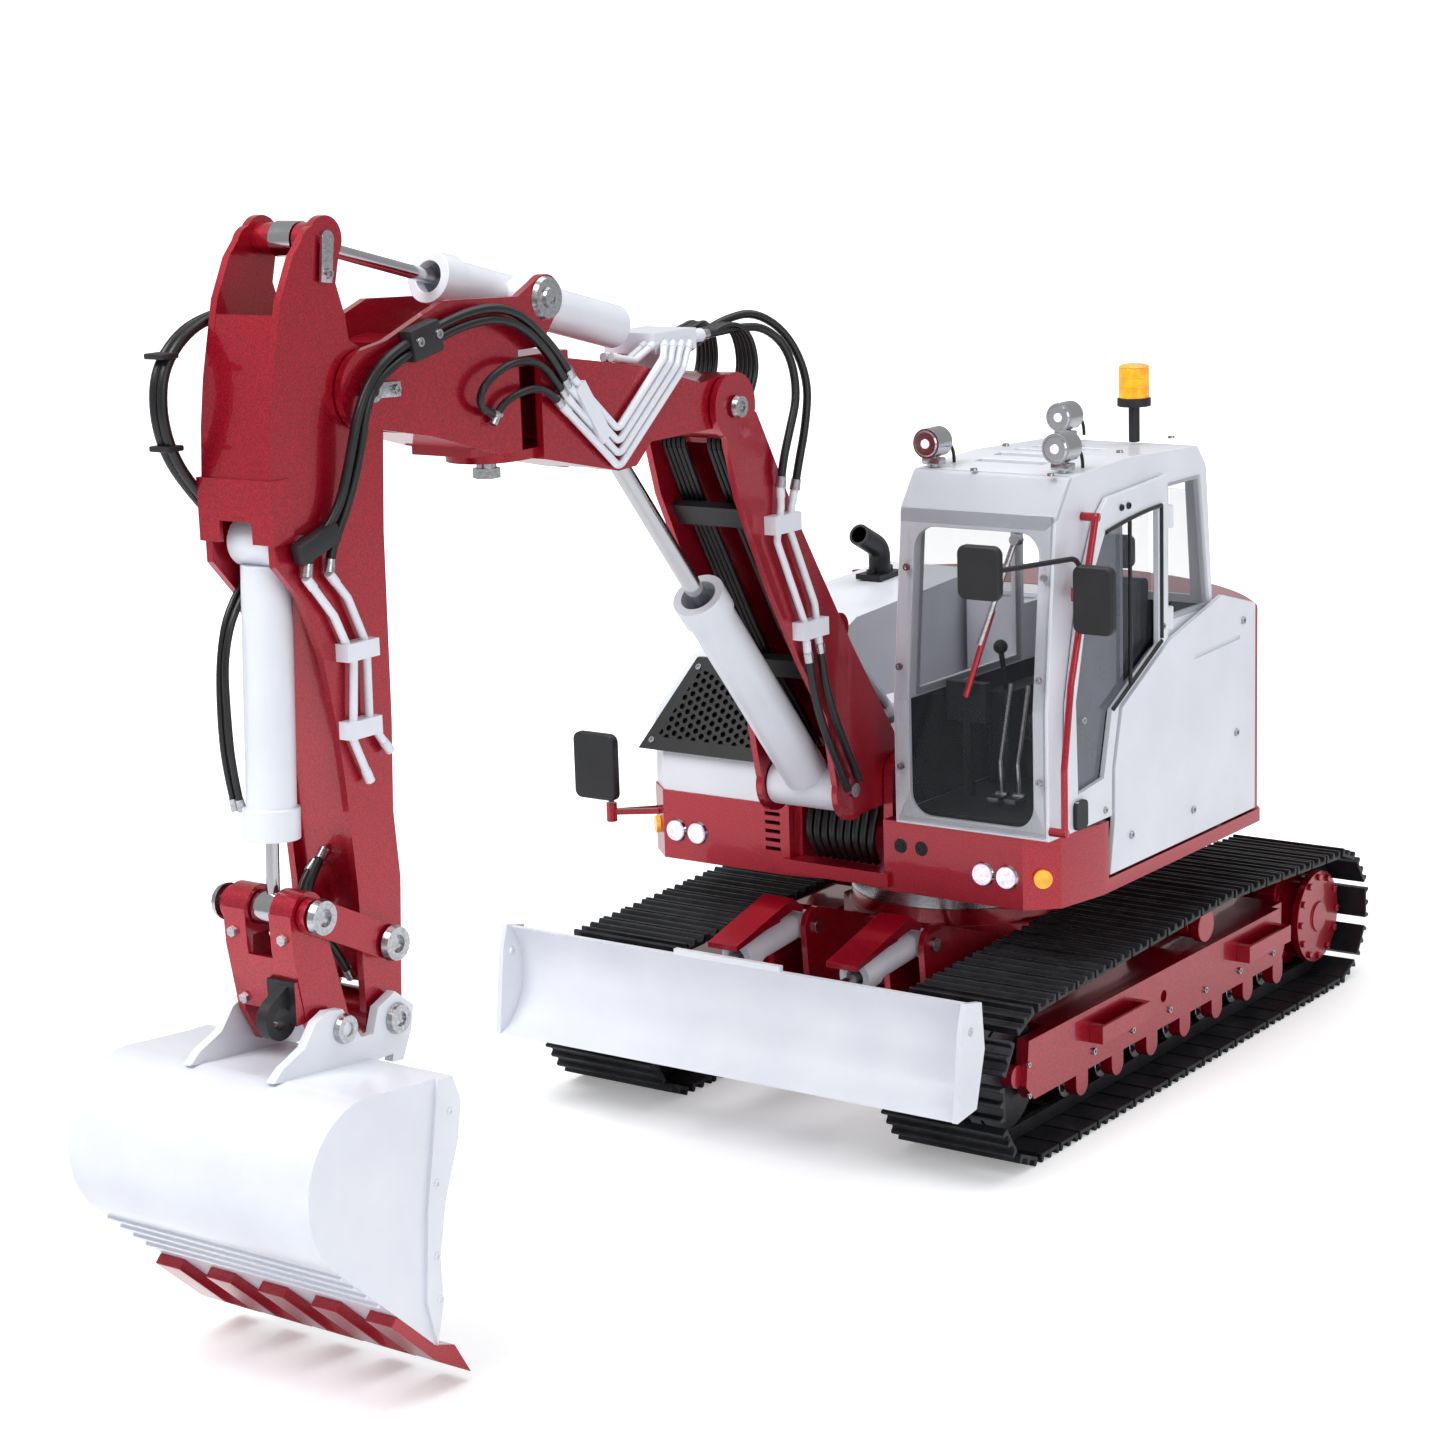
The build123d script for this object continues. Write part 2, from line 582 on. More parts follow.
def cab_door():
    """Door pressing with its handle and two hinge barrels on the rear edge."""
    window = poly((12, 160), (46, 143), (52, 120), (70, 118), (71, 150), (61, 188), (50, 205), (12, 209))
    skin = plate(door_outline() - window, CAB_Y1 + 0.4, CAB_Y1 + 2.4)
    handle = plate(rounded(Pos(70, 111) * Rectangle(8, 10), 2), CAB_Y1 + 2.4, CAB_Y1 + 4)
    barrels = [flat(Pos(3, CAB_Y1 + 1.6) * Circle(1.6), z, z + 8) for z in (164, 200)]
    leaf = [block(3, 8, CAB_Y1 + 0.8, CAB_Y1 + 2.4, z, z + 8) for z in (164, 200)]
    return [skin + leaf + barrels, handle]


def door_glass():
    lower = poly(
        (13, 159), (46.5, 142), (52.5, 119), (71, 117), (72, 150),
        (62, 188.5), (50, 206), (34, 207), (34, 149),
    )
    return plate(lower, CAB_Y1 - 0.7, CAB_Y1 + 0.3)


def side_window():
    """Rear half of the door glass, which slides forward."""
    return plate(poly((11, 162), (33.4, 150.5), (33.4, 208), (11, 210)), CAB_Y1 - 2, CAB_Y1 - 1)


def cab_interior():
    """Seat, side consoles with joysticks, monitor and floor mat."""
    mid = (CAB_Y0 + CAB_Y1) / 2
    floor = block(-30, 82, CAB_Y0 + 3, CAB_Y1 - 3, SILL_Z + CAB_WALL, SILL_Z + 4.5)
    base = block(-8, 26, mid - 13, mid + 13, SILL_Z + 4.5, 124)
    cushion = block(-10, 30, mid - 14, mid + 14, 124, 133)
    cushion = fillet(cushion.edges(), 3)
    back = Plane.XZ * rounded(poly((-12, 133), (-2, 133), (-10, 178), (-18, 178)), 3)
    back = Pos(0, mid - 13, 0) * extrude(back, amount=-26)
    head = fillet(block(-19, -12, mid - 8, mid + 8, 181, 193).edges(), 2.5)
    neck = block(-17, -14, mid - 3, mid + 3, 177, 182)
    pieces = [floor, base, cushion, back, head, neck]
    for sy in (1, -1):
        y = mid + sy * 20
        pieces.append(fillet(block(-6, 34, y - 4.5, y + 4.5, SILL_Z + 4.5, 142).edges().filter_by(Axis.Z), 2))
        stick = bar((28, y, 142), (31, y, 156), 1.0) + Pos(31.4, y, 158) * Sphere(2.6)
        pieces.append(stick)
    pieces.append(block(54, 58, CAB_Y0 + 4, CAB_Y0 + 20, 136, 150))
    pieces.append(block(54, 57, CAB_Y0 + 10, CAB_Y0 + 13, SILL_Z + 4.5, 136))
    return pieces


def travel_lever(side):
    y = LEVER_Y[side]
    path = [(LEVER_FOOT[0], y, LEVER_FOOT[1]), (LEVER_FOOT[0] + 1, y, 124), (LEVER_FOOT[0] - 7, y, 150)]
    x, z = LEVER_FOOT
    pedal = block(x - 1, x + 7, y - 2.2, y + 2.2, z - 0.8, z + 0.8)
    return [wire_rod(path, 0.9, 6) + pedal + pin(LEVER_FOOT, 1.6, y - 2.2, y + 2.2)]


def hollowed(solid_maker, wall):
    return solid_maker(0) - solid_maker(wall)


def engine_solid(inset=0.0):
    """Right-hand body with a sloping grille face and a leaning side."""
    side = poly(
        (-62 + inset, SILL_Z - 1 if inset else SILL_Z), (86 - inset, SILL_Z - 1 if inset else SILL_Z),
        (84.5 - inset, 119), (64 - inset, 153 - inset), (36, 165 - inset),
        (-50, 170 - inset), (-62 + inset, 162 - inset),
    )
    inner = -BAY_HALF - 1.5 - inset
    outer = -HOUSE_HALF + inset
    front = poly(
        (inner, SILL_Z - 2), (outer, SILL_Z - 2), (outer + 1, 120), (-72 + inset, 158 - inset),
        (-64 + inset, 171 - inset), (inner, 172 - inset),
    )
    cut = extrude(Plane.YZ * front, amount=200, both=True)
    plan = flat(house_outline(inset + 0.6), SILL_Z - 2, 180)
    return plate(side, -95, 0) & cut & plan


def grille_window():
    """Area of the sloping front face that the grille fills."""
    return poly((-28, 121), (-83, 121), (-70, 150), (-46, 150))


def engine_cover():
    body = hollowed(engine_solid, 1.8)
    opening = extrude(Plane.YZ * grille_window(), amount=100) & block(58, 95, -95, 0, 118, 153)
    vents = [block(-44 + 9 * i, -40 + 9 * i, -95, -85, 128, 142) for i in range(5)]
    return [body - opening - vents]


def engine_grille():
    face = poly((85.6, 119), (64.9, 153.2), (66.1, 153.9), (86.8, 119.7))
    frame = offset(grille_window(), 1.4, kind=Kind.INTERSECTION)
    sheet = plate(face, -90, -20) & extrude(Plane.YZ * frame, amount=100)
    middle = Plane(origin=(75.5, -56, 136.5), x_dir=(0, 1, 0), z_dir=(34.2, 0, 20.7))
    holes = middle * spread(HexLocations(1.75, 17, 11), RegularPolygon(1.2, 6))
    punched = extrude(holes, amount=6, both=True)
    inner = extrude(Plane.YZ * offset(grille_window(), -3, kind=Kind.INTERSECTION), amount=100)
    return sheet - (punched & inner)


def counterweight():
    """Cast tail, hollowed for the battery, following the tail swing radius."""
    body = flat(house_outline(1), DECK_TOP, 163) & block(-120, -63.5, -95, 95, DECK_TOP, 163)
    body = fillet(body.edges().group_by(Axis.Z)[-1].filter_by(GeomType.CIRCLE), 3)
    body -= block(-90, -63, -58, 20, 95, 150)
    for i in range(6):
        body -= block(-120, -100, -30 + 10 * i, -25 + 10 * i, 108, 140)
    return body


def side_cover():
    """White panel along the cab's side and round the corner behind the cab."""
    edge = poly(
        (49, 85), (45.5, 104), (45, 122), (39.6, 142.5),
        (5, 160), (-36, 170), (-62.5, 163), (-62.5, 85),
    )
    panel = plate(edge, HOUSE_HALF - 2, HOUSE_HALF)
    tank_bay = plate(poly((-36, 163), (-62.5, 161), (-62.5, 163), (-36, 165)), -19, HOUSE_HALF - 2)
    slot = plate(poly((-14, 150), (-50, 151.5), (-50, 153), (-14, 151.8)), HOUSE_HALF - 0.8, HOUSE_HALF + 1)
    wall = block(-38.5, -36.5, -19, HOUSE_HALF - 2, DECK_TOP, 163)
    return [panel - slot + tank_bay + wall]


def exhaust():
    """Flanged tail pipe with a forward bend and a slanted mouth."""
    base = (-24, -50, 168.6)
    pipe = wire_rod([base, (-24, -50, 180), (-10, -50, 187)], 4.2, 6)
    bore = wire_rod([(-24, -50, 176), (-24, -50, 180.2), (-9, -50, 187.5)], 3.2, 3)
    flange = Pos(-24, -50, 169.6) * Box(17, 11, 2)
    studs = [flat(Pos(-24 + dx, -50) * RegularPolygon(1.6, 6), 170.6, 172.4) for dx in (-6.4, 6.4)]
    return [pipe + flange - bore - engine_solid(), *studs]


def beacon():
    """Amber rotating light on a black stalk."""
    x, y = BEACON
    stalk = flat(Pos(x, y) * Circle(2), CAB_TOP + 1.2, CAB_TOP + 14)
    cup = flat(Pos(x, y) * Circle(6), CAB_TOP + 14, CAB_TOP + 17)
    lens = flat(Pos(x, y) * Circle(5.4), CAB_TOP + 17, CAB_TOP + 29)
    lens = fillet(lens.edges().group_by(Axis.Z)[-1], 2)
    return [stalk + cup, lens]


def work_lights():
    """Three round cab lamps on clamped feet."""
    pieces = []
    for x, y, z in LAMP_SPOTS:
        foot = flat(Pos(x, y) * Circle(2), z, z + 5)
        can = bar((x - 4, y, z + 8.4), (x + 5, y, z + 8.4), 5.2)
        pieces.append(foot + can)
    return pieces


def head_lamps():
    """Two clear lamps and an indicator in each front skirt."""
    pieces = []
    for side in (1, -1):
        for y in LAMP_Y:
            x = HOUSE_FRONT + 5
            pieces.append(bar((x, side * y, LAMP_Z), (x + 1.6, side * y, LAMP_Z), 3.6))
        pieces.append(bar((80.75, side * 81.25, LAMP_Z), (81.9, side * 82.3, LAMP_Z), 3.2))
    return pieces


def handrail():
    """Grab rail on the front pillar with the mirror clamp."""
    y = CAB_Y1 + 5.5
    path = [(62, y, 213), (70, y, 188), (80, y, 158), (85, y, 130), (85, y, 107)]
    rail = wire_rod(path, 1.2, 12)
    ends = bar((62, CAB_Y1 + 0.1, 212), (62, y + 1, 212), 1.5) + bar((85, CAB_Y1, 108), (85, y + 1, 108), 1.5)
    clamp = block(65.5, 75.5, y - 2.2, y + 2.2, 185.5, 190) + block(69.5, 73.5, y + 2.2, y + 5.5, 187, 190)
    return [rail + ends + clamp]


def mirror_glass(centre, width, height, thick=3.0):
    x, y, z = centre
    head = Plane(origin=(x, y, z), x_dir=(0, 1, 0), z_dir=(1, 0, 0)) * rounded(Rectangle(width, height), 3)
    return fillet(extrude(head, amount=thick).faces().sort_by(Axis.X)[-1].edges(), 1)


def mirrors():
    """Stalks and heads of the three mirrors, each turning about the upright end of its stalk."""
    y = CAB_Y1 + 5.5
    front_head = mirror_glass((112, 78, 200), 16, 18)
    front_stalk = wire_rod([(*MIRROR_FRONT_AXIS, 190.3), (*MIRROR_FRONT_AXIS, 200), (112.5, 80, 200)], 0.9, 4)
    side_head = mirror_glass((82, MIRROR_REACH - 7.5, 188), 15, 23)
    side_stalk = wire_rod(
        [(*MIRROR_SIDE_AXIS, 190.3), (*MIRROR_SIDE_AXIS, 197),
         (80, y + 7, 198), (83.5, MIRROR_REACH - 7.5, 193)],
        0.9, 3,
    )
    right_head = mirror_glass((90, -MIRROR_REACH + 9.5, 112), 19, 25)
    post = (*MIRROR_RIGHT_AXIS, 98.4)
    right_stalk = wire_rod([post, (*MIRROR_RIGHT_AXIS, 104), (92, -MIRROR_REACH + 9.5, 110)], 1.0, 3)
    return {
        "mirror_front": [front_head + front_stalk],
        "mirror_side": [side_head + side_stalk],
        "mirror_right": [right_head + right_stalk],
    }


def wiper():
    """Pantograph arm with the blade parked low."""
    screen = Plane(origin=WIPER_HUB, x_dir=(0, 1, 0), z_dir=SCREEN_NORMAL)
    hub = screen * Cylinder(1.8, 3.6, align=(Align.CENTER, Align.CENTER, Align.MIN))
    arm = screen * bar((0, 0, 2.6), (-12, -36, 2.6), 1.0)
    blade = screen * bar((-8, -24, 1.9), (-17, -54, 1.9), 0.9)
    return [hub + arm + blade]


def battery_pack():
    return fillet(block(-60, -40, -52, -24, 90, 140).edges(), 3)


def power_pack():
    """Motor, pump and oil tank of the hydraulic supply, standing in the engine bay."""
    motor = bar((52, -70, 105), (18, -70, 105), 13)
    pump = block(4, 18, -80, -60, 95, 116)
    tank = fillet(block(6, 58, -52, -26, DECK_TOP, 128).edges().filter_by(Axis.Z), 4)
    fins = [bar((48 - 6 * i, -70, 105), (46 - 6 * i, -70, 105), 14.5) for i in range(5)]
    filler = flat(Pos(30, -39) * Circle(6), 128, 134)
    return [motor + pump + fins, tank + filler]


def valve_block():
    """Proportional valve bank: one spool section for each function, with a servo on each."""
    pieces = []
    for i in range(8):
        x = -2 - 6 * i
        y, z = (-52, 112) if x > -38 else (-84, 100)
        pieces.append(block(x - 5.6, x, y, y + 22, z, z + 18))
        top = 130 if x > -38 else 118
        y = -41 if x > -38 else -73
        pieces.append(flat(Pos(x - 2.8, y) * Circle(2.4), top, top + 7))
    return pieces


def receiver_box():
    return fillet(block(-34, -4, -16, 16, DECK_TOP, 92).edges().filter_by(Axis.Z), 2)


def slew_drive():
    """Turning race under the deck and the geared motor that drives it."""
    race = flat(Circle(38) - Circle(30.5), 69.3, DECK_BOTTOM) + flat(Circle(33.7) - Circle(30.5), 61, 69.3)
    motor = flat(Pos(-14, 0) * Circle(9), 63, DECK_TOP)
    web = block(-34, 34, -3, 3, 74, DECK_BOTTOM) & flat(Circle(31), 74, DECK_BOTTOM)
    return [race + web - motor, motor]


# ---------------------------------------------------------------- boom
def lower_boom():
    """Deep channel, open in front, with ears for the adjusting cylinder and the knuckle."""
    outline = poly(
        (171, 262), (161, 227), (145, 195), (129, 168), (114, 146), (109, 122), (104, 108),
        (74, 108.5), (64, 122), (84, 150), (97, 168), (127, 214), (150, 254),
    )
    outline += [disc(*KNUCKLE, 11), disc(*EAR, 10.5), disc(*FOOT, 9.5)]
    side = plates(outline, LOWER_HALF, PLATE)
    back = poly(
        (69, 128), (84, 150), (97, 168), (127, 214), (144, 244),
        (146.5, 242.5), (129.5, 212.5), (99, 166), (72, 128),
    )
    inner = LOWER_HALF - PLATE
    foot = pin(FOOT, 7, -inner, inner)
    lug = hull((*LIFT_EYE, 5.5), (98, 174, 2), (96, 164, 1.5))
    lugs = plate(lug, 4.4, 7.2) + plate(lug, -7.2, -4.4)
    web = plate(back, -inner, inner)
    bars = []
    for middle in CLAMP_BARS:
        bars.append(Pos(middle[0], 0, middle[1]) * Rot(0, 32, 0) * Box(3, 2 * inner, 8))
    pins = [
        pin(KNUCKLE, PIN_R, -LOWER_HALF - 1, LOWER_HALF + 1),
        pin(EAR, PIN_R, -LOWER_HALF - 1, LOWER_HALF + 1),
        pin(LIFT_EYE, PIN_R, -7.6, 7.6),
    ]
    body = side + foot + web + lugs
    body -= pin(FOOT, PIN_R + FIT, -20, 20)
    body -= plate(disc(*EAR, 11), -inner, inner)
    return [body - pins, *[bar_piece - body for bar_piece in bars], *pins]


def upper_boom():
    """Box section with the knuckle hub behind and the swing fork in front."""
    outline = poly(
        (153, 251), (203, 250.5), (211, 244), (220, 243.5), (256, 251.5), (256, 282.4),
        (207, 274.5), (176, 266), (158, 267.5),
    )
    outline += disc(*KNUCKLE, 10.5)
    outline -= [disc(153, 245, 3)]
    body = plate(outline, -UPPER_HALF, UPPER_HALF)
    core = poly((174, 254), (206, 253.5), (214, 247), (252, 255), (252, 279), (207, 271.5), (176, 263))
    body -= plate(core, PLATE - UPPER_HALF, UPPER_HALF - PLATE)
    body -= block(252, 260, PLATE - UPPER_HALF, UPPER_HALF - PLATE, 255.2, 279.3)
    body -= plate(poly((186, 240), (226, 240), (226, 256), (214, 262), (198, 262), (186, 256)), -6.4, 6.4)
    lug = hull((*ADJUST_EYE, 6), (208, 266, 7)) & outline
    body += plate(lug, 4.4, 6.8) + plate(lug, -6.8, -4.4)
    fork = Pos(SWING_X, 0) * Circle(12) + Pos((SWING_X + 240) / 2, 0) * Rectangle(SWING_X - 240, 24)
    body += flat(fork, 279.5, 282.5) + flat(fork, 252, 255)
    x, z = SWING_ROD_EYE
    lug_plan = hull((x, SWING_CYL_Y, 5), (x - 6, -UPPER_HALF, 1), (x + 6, -UPPER_HALF, 1))
    body += flat(lug_plan, z - 6.4, z - 4.3) + flat(lug_plan, z + 4.3, z + 6.4)
    pins = [
        pin(ADJUST_EYE, PIN_R, -7, 7),
        flat(Pos(SWING_X, 0) * Circle(3), 249.5, 284),
        flat(Pos(SWING_X, 0) * RegularPolygon(4.2, 6), 246.5, 249.5),
        flat(Pos(x, SWING_CYL_Y) * Circle(SMALL_PIN_R), z - 7.2, z + 7.2),
    ]
    body -= pin(KNUCKLE, PIN_R + FIT, -20, 20)
    return [body - pins, *pins]


def front_outline():
    outline = poly(
        (268, 255.6), (277, 255.6), (308, 264.5), (330, 268.8), (336, 291.2), (325, 293), (300, 302),
        (267, 300.5), (256, 305.8), (247.2, 297), (253, 290), (258, 285), (268, 285),
    )
    return outline + [disc(*ARM_PIVOT, 11.5), disc(*TRUNNION, 7)]


def front_boom():
    """Swinging front piece: hinge barrel, trunnion ears and the fork that holds the arm."""
    inner = FRONT_HALF - PLATE
    body = plates(front_outline(), FRONT_HALF, PLATE)
    top_web = poly((266, 285), (300, 290), (314, 289), (314, 291), (300, 292.2), (266, 287.2))
    low_web = poly((277, 255.6), (308, 264.5), (314, 265.8), (314, 268), (308, 266.7), (277, 258))
    cross = poly((284, 258), (286.5, 258), (286.5, 289), (284, 289))
    body += [plate(web, -inner, inner) for web in (top_web, low_web, cross)]
    stem = flat(Pos(SWING_X, 0) * Circle(11.4) + Pos(276, 0) * Rectangle(20, 22.8), 255.3, 279.2)
    body += stem
    body -= flat(Pos(SWING_X, 0) * Circle(3 + FIT), 250, 284.6)
    body -= flat(Pos(SWING_X, 0) * Circle(12.6), 279.2, 284.9)
    x, z = SWING_CYL_EYE
    lug_plan = hull((x, SWING_CYL_Y, 5), (x - 7, -FRONT_HALF, 1), (x + 7, -FRONT_HALF, 1))
    body += flat(lug_plan, z - 9.6, z - 7.6) + flat(lug_plan, z + 6.9, z + 9.2)
    body -= pin(TRUNNION, 3 + FIT, -20, 20)
    pins = [
        pin(ARM_PIVOT, PIN_R, -FRONT_HALF - 1, FRONT_HALF + 1),
        flat(Pos(x, SWING_CYL_Y) * Circle(SMALL_PIN_R), z - 10, z + 10),
    ]
    return [body - pins, *pins]


def arm_outline():
    outline = poly(
        (352, 324), (357.5, 318), (363, 307), (368, 286), (370, 273), (371, 260), (371, 236), (362, 226),
        (354.5, 208), (350.5, 187), (348.5, 171), (346, 140), (345.5, 104), (330.5, 103), (328, 140),
        (329.5, 160), (328, 186), (327, 240), (325, 268), (324, 288), (337, 294), (338, 301),
        (341, 310), (338.5, 320),
    )
    return outline + [disc(*ARM_TOP, 6.5), disc(*ARM_PIVOT, 10), disc(*BUCKET_PIN, 8), disc(348, 320, 6)]


def arm():
    """Box arm: two side plates with front, rear and bottom webs, and hubs at its pins."""
    inner = ARM_HALF - PLATE
    outline = arm_outline()
    body = plates(outline, ARM_HALF, PLATE)
    front = poly(
        (363.8, 303), (368, 286), (370, 273), (371, 260), (371, 250),
        (368.6, 250), (368.6, 260), (365.6, 285), (361.4, 303),
    )
    lower = poly(
        (352, 230), (348, 187), (346, 171), (343.5, 140), (342.8, 112),
        (340.4, 112), (341, 140), (345, 187), (348, 232),
    )
    rear = poly(
        (326.8, 262), (327.6, 186), (329, 160), (327.6, 140), (329.4, 112),
        (331.8, 112), (330, 140), (331.4, 160), (330, 186), (329.2, 262),
    )
    shelf = poly((329, 262), (350, 228), (350, 231), (331, 264))
    body += [plate(web & outline, -inner, inner) for web in (front, lower, rear, shelf)]
    body += pin(ARM_PIVOT, 8, -ARM_HALF, ARM_HALF) + pin(BUCKET_PIN, 7, -ARM_HALF, ARM_HALF)
    for centre in (ARM_TOP, BUCKET_BASE):
        reach = 4.4 if centre is ARM_TOP else 8.4
        body += pin(centre, 4.6, reach, inner) + pin(centre, 4.6, -inner, -reach)
    body -= pin(ARM_PIVOT, PIN_R + FIT, -20, 20)
    body -= pin(BUCKET_PIN, PIN_R + FIT, -20, 20)
    pins = [
        pin(ARM_TOP, PIN_R, -ARM_HALF - 0.8, ARM_HALF + 0.8),
        pin(BUCKET_BASE, PIN_R, -ARM_HALF - 0.8, ARM_HALF + 0.8),
        pin(ROCKER_FOOT, PIN_R, -17, 17),
    ]
    band = poly((371, 259.5), (372.2, 259.5), (372.2, 242), (371, 242))
    wrap = plate(band, -ARM_HALF - 0.9, ARM_HALF + 0.9)
    wrap += plate(poly((364, 242), (372.2, 242), (372.2, 259.5), (364, 259.5)), ARM_HALF, ARM_HALF + 0.9)
    wrap += plate(poly((364, 242), (372.2, 242), (372.2, 259.5), (364, 259.5)), -ARM_HALF - 0.9, -ARM_HALF)
    wrap -= block(369, 375, -6, 6, 238, 248)
    return [body - pins, wrap, *pins]


def pipe(points):
    """Rigid pipe along straight runs, with a sleeve round each end."""
    radius, length = SLEEVE
    body = wire_rod(points, PIPE_R, PIPE_BEND)
    for end, inner in ((points[0], points[1]), (points[-1], points[-2])):
        run = Vector(*inner) - Vector(*end)
        body += bar(end, tuple(Vector(*end) + run.normalized() * length), radius)
    return body


def clamped(pipes, clamps):
    """Pipes with their clamp blocks, each block fitted round the pipes that it holds."""
    return [*pipes, *[clamp - pipes for clamp in clamps]]


def lower_boom_pipes():
    """Two pipes up the left side of the lower boom."""
    y = LOWER_HALF + 2.4
    pipes = [pipe([at_y(point, y) for point in points]) for points in LOWER_PIPES]
    spots = [(140, 216.5), (125.5, 179)]
    clamps = [block(x - 7.5, x + 7.5, LOWER_HALF, y + 2.2, z - 3, z + 3) for x, z in spots]
    return clamped(pipes, clamps)


def boom_hoses():
    """Two bundles of five hoses down the lower boom's channel, held by the clamp bars."""
    pieces = []
    for i in range(5):
        y = 5.2 + 1.95 * i
        for side in (1, -1):
            route = [at_y(point, side * y) for point in CHANNEL_ROUTE]
            pieces.append(wire_rod(route, CHANNEL_HOSE_R, 3.8))
    return pieces


def upper_boom_pipes():
    """Manifold on the upper boom, four pipes down its left side and two along its top."""
    side_y = UPPER_HALF + 2.0
    x0, x1, z0, z1 = MANIFOLD
    body = block(x0, x1, -10, 10, z0, z1)
    body += [bar((x0, y, z1 - 3), (x0 - 6, y, z1 - 3), 2.2) for y in (-7.2, -2.4, 2.4, 7.2)]
    foot = poly((178, 268), (190, 271.3), (190, z0), (178, z0))
    body += plate(foot, -8, 8)
    pipes = []
    for i in range(4):
        t = i / 3
        pipes.append(pipe([
            (189 - 13 * t, 10, 279.5 - t),
            (198 - 10 * t, side_y, 276 - 4 * t),
            (222.5, side_y, 256.5 - 11.5 * t),
            (245 + 5 * t, side_y + 0.6, 275 - 8 * t),
        ]))
    for y in TOP_PIPE_Y:
        pipes.append(pipe([(x1 - 2, y, 280), (203, y, 275.4), (215, y, 277.6)]))
    clamp = Pos(236.5, side_y, 263.5) * Rot(0, 35, 0) * Box(5, 10, 21)
    clamp &= block(220, 250, UPPER_HALF, side_y + 2.4, 245, 280)
    return clamped([body - pipes, *pipes], [clamp])


def arm_pipes():
    """Two pipes down the left side of the arm."""
    y = ARM_HALF + 2.4
    pipes = [pipe([at_y(point, y) for point in points]) for points in ARM_PIPES]
    spots = [(343, 209), (343.5, 187)]
    clamps = [block(x - 6.5, x + 6.5, ARM_HALF, y + 2.2, z - 2.5, z + 2.5) for x, z in spots]
    return clamped(pipes, clamps)


def rocker_links():
    bar_shape = hull((*ROCKER_FOOT, 5), (*ROCKER_EYE, 5))
    holes = disc(*ROCKER_FOOT, PIN_R + FIT)
    y0 = ARM_HALF + GAP
    body = plate(bar_shape - holes, y0, y0 + 2.8)
    other = plate(bar_shape - holes, -y0 - 2.8, -y0)
    pivot = pin(ROCKER_EYE, PIN_R, -17, 17)
    return [body - pivot, other - pivot, pivot]


def power_link():
    """Box link between the rockers' pin and the bucket, slotted for the rod eye."""
    outline = poly((374, 139), (373.6, 128), (370, 108), (364.5, 98), (355, 97.5), (353, 106), (361, 136))
    outline += [disc(*ROCKER_EYE, 6.6), disc(*LINK_PIN, 6.6)]
    body = plate(outline, -ARM_HALF, ARM_HALF)
    body -= plate(poly((350, 93), (368, 93), (372, 122), (371, 131), (352, 131)), -10.4, 10.4)
    body -= block(350, 380, -4.6, 4.6, 126, 150)
    body -= pin(ROCKER_EYE, PIN_R + FIT, -20, 20)
    body -= pin(LINK_PIN, PIN_R + LINK_PLAY, -20, 20)
    ring = hull((*LIFT_RING, 6.2), (372.5, 117, 2)) - disc(*LIFT_RING, 3.2)
    eye = plate(ring, 6, 9.8) + block(370, 373.6, 2, 12.6, 107.5, 120)
    return [body, eye - body]


def bucket_section():
    """Outer side view of the bucket: flat top, round back, straight floor, hollow rim."""
    top = Line((349, 92), (384, 95.5))
    back = ThreePointArc((384, 95.5), (402.6, 86.5), (BUCKET_FRONT, 71))
    heel = ThreePointArc((BUCKET_FRONT, 71), (405.6, 59.5), (398, 50))
    floor = Line((398, 50), (361, 16))
    rim = Spline((361, 16), (359, 28), (359.5, 41), (356, 57), (350, 73), (346, 84), (349, 92))
    return make_face([top, back, heel, floor, rim])


def bucket_hollow():
    """Inside of the bucket, run out past its open front."""
    t = BUCKET_T
    top = Line((330, 92 - t), (384, 95.5 - t))
    back = ThreePointArc((384, 95.5 - t), (402.6 - 0.75 * t, 86.5 - 0.65 * t), (BUCKET_FRONT - t, 71))
    heel = ThreePointArc(
        (BUCKET_FRONT - t, 71), (405.6 - 0.9 * t, 59.5 + 0.4 * t), (398 - 0.68 * t, 50 + 0.74 * t),
    )
    rest = Polyline((398 - 0.68 * t, 50 + 0.74 * t), (354, 11), (330, 11), (330, 92 - t))
    return make_face([top, back, heel, rest])


def bucket():
    body = plate(bucket_section(), -BUCKET_HALF, BUCKET_HALF)
    body -= plate(bucket_hollow(), BUCKET_T - BUCKET_HALF, BUCKET_HALF - BUCKET_T)
    ear = poly(
        (389, 96), (385, 99), (376, 102.5), (371, 108.5), (366, 110.5), (360, 109.6), (353, 99.5), (348, 99),
        (345.5, 106), (338, 109), (330.5, 103), (332, 96), (336, 88), (350, 90),
    ) - plate_face_inside()
    body += plate(ear, 14.4, 17.4) + plate(ear, -17.4, -14.4)
    for i in range(4):
        rib = Pos(395.7 - 4.6 * i, 0, 47.5 - 4.23 * i) * Rot(0, -47.4, 0)
        body += rib * Box(1.2, 2 * BUCKET_HALF - 2, 1.2)
    cutter = poly(
        (346, 84), (349, 92), (355, 92.5), (362, 57), (364.5, 30),
        (361, 16), (357.6, 28), (358, 41), (354.5, 57), (348, 73),
    )
    body += plate(cutter, BUCKET_HALF, BUCKET_HALF + 1.2) + plate(cutter, -BUCKET_HALF - 1.2, -BUCKET_HALF)
    pins = [pin(BUCKET_PIN, PIN_R, -18.4, 18.4), pin(LINK_PIN, PIN_R, -18.4, 18.4)]
    return [body - pins, *pins]


def plate_face_inside():
    """The ears stop at the bucket's skin instead of passing through it."""
    return poly((340, 91), (351, 91), (384, 94.5), (396, 88), (380, 60), (350, 60))


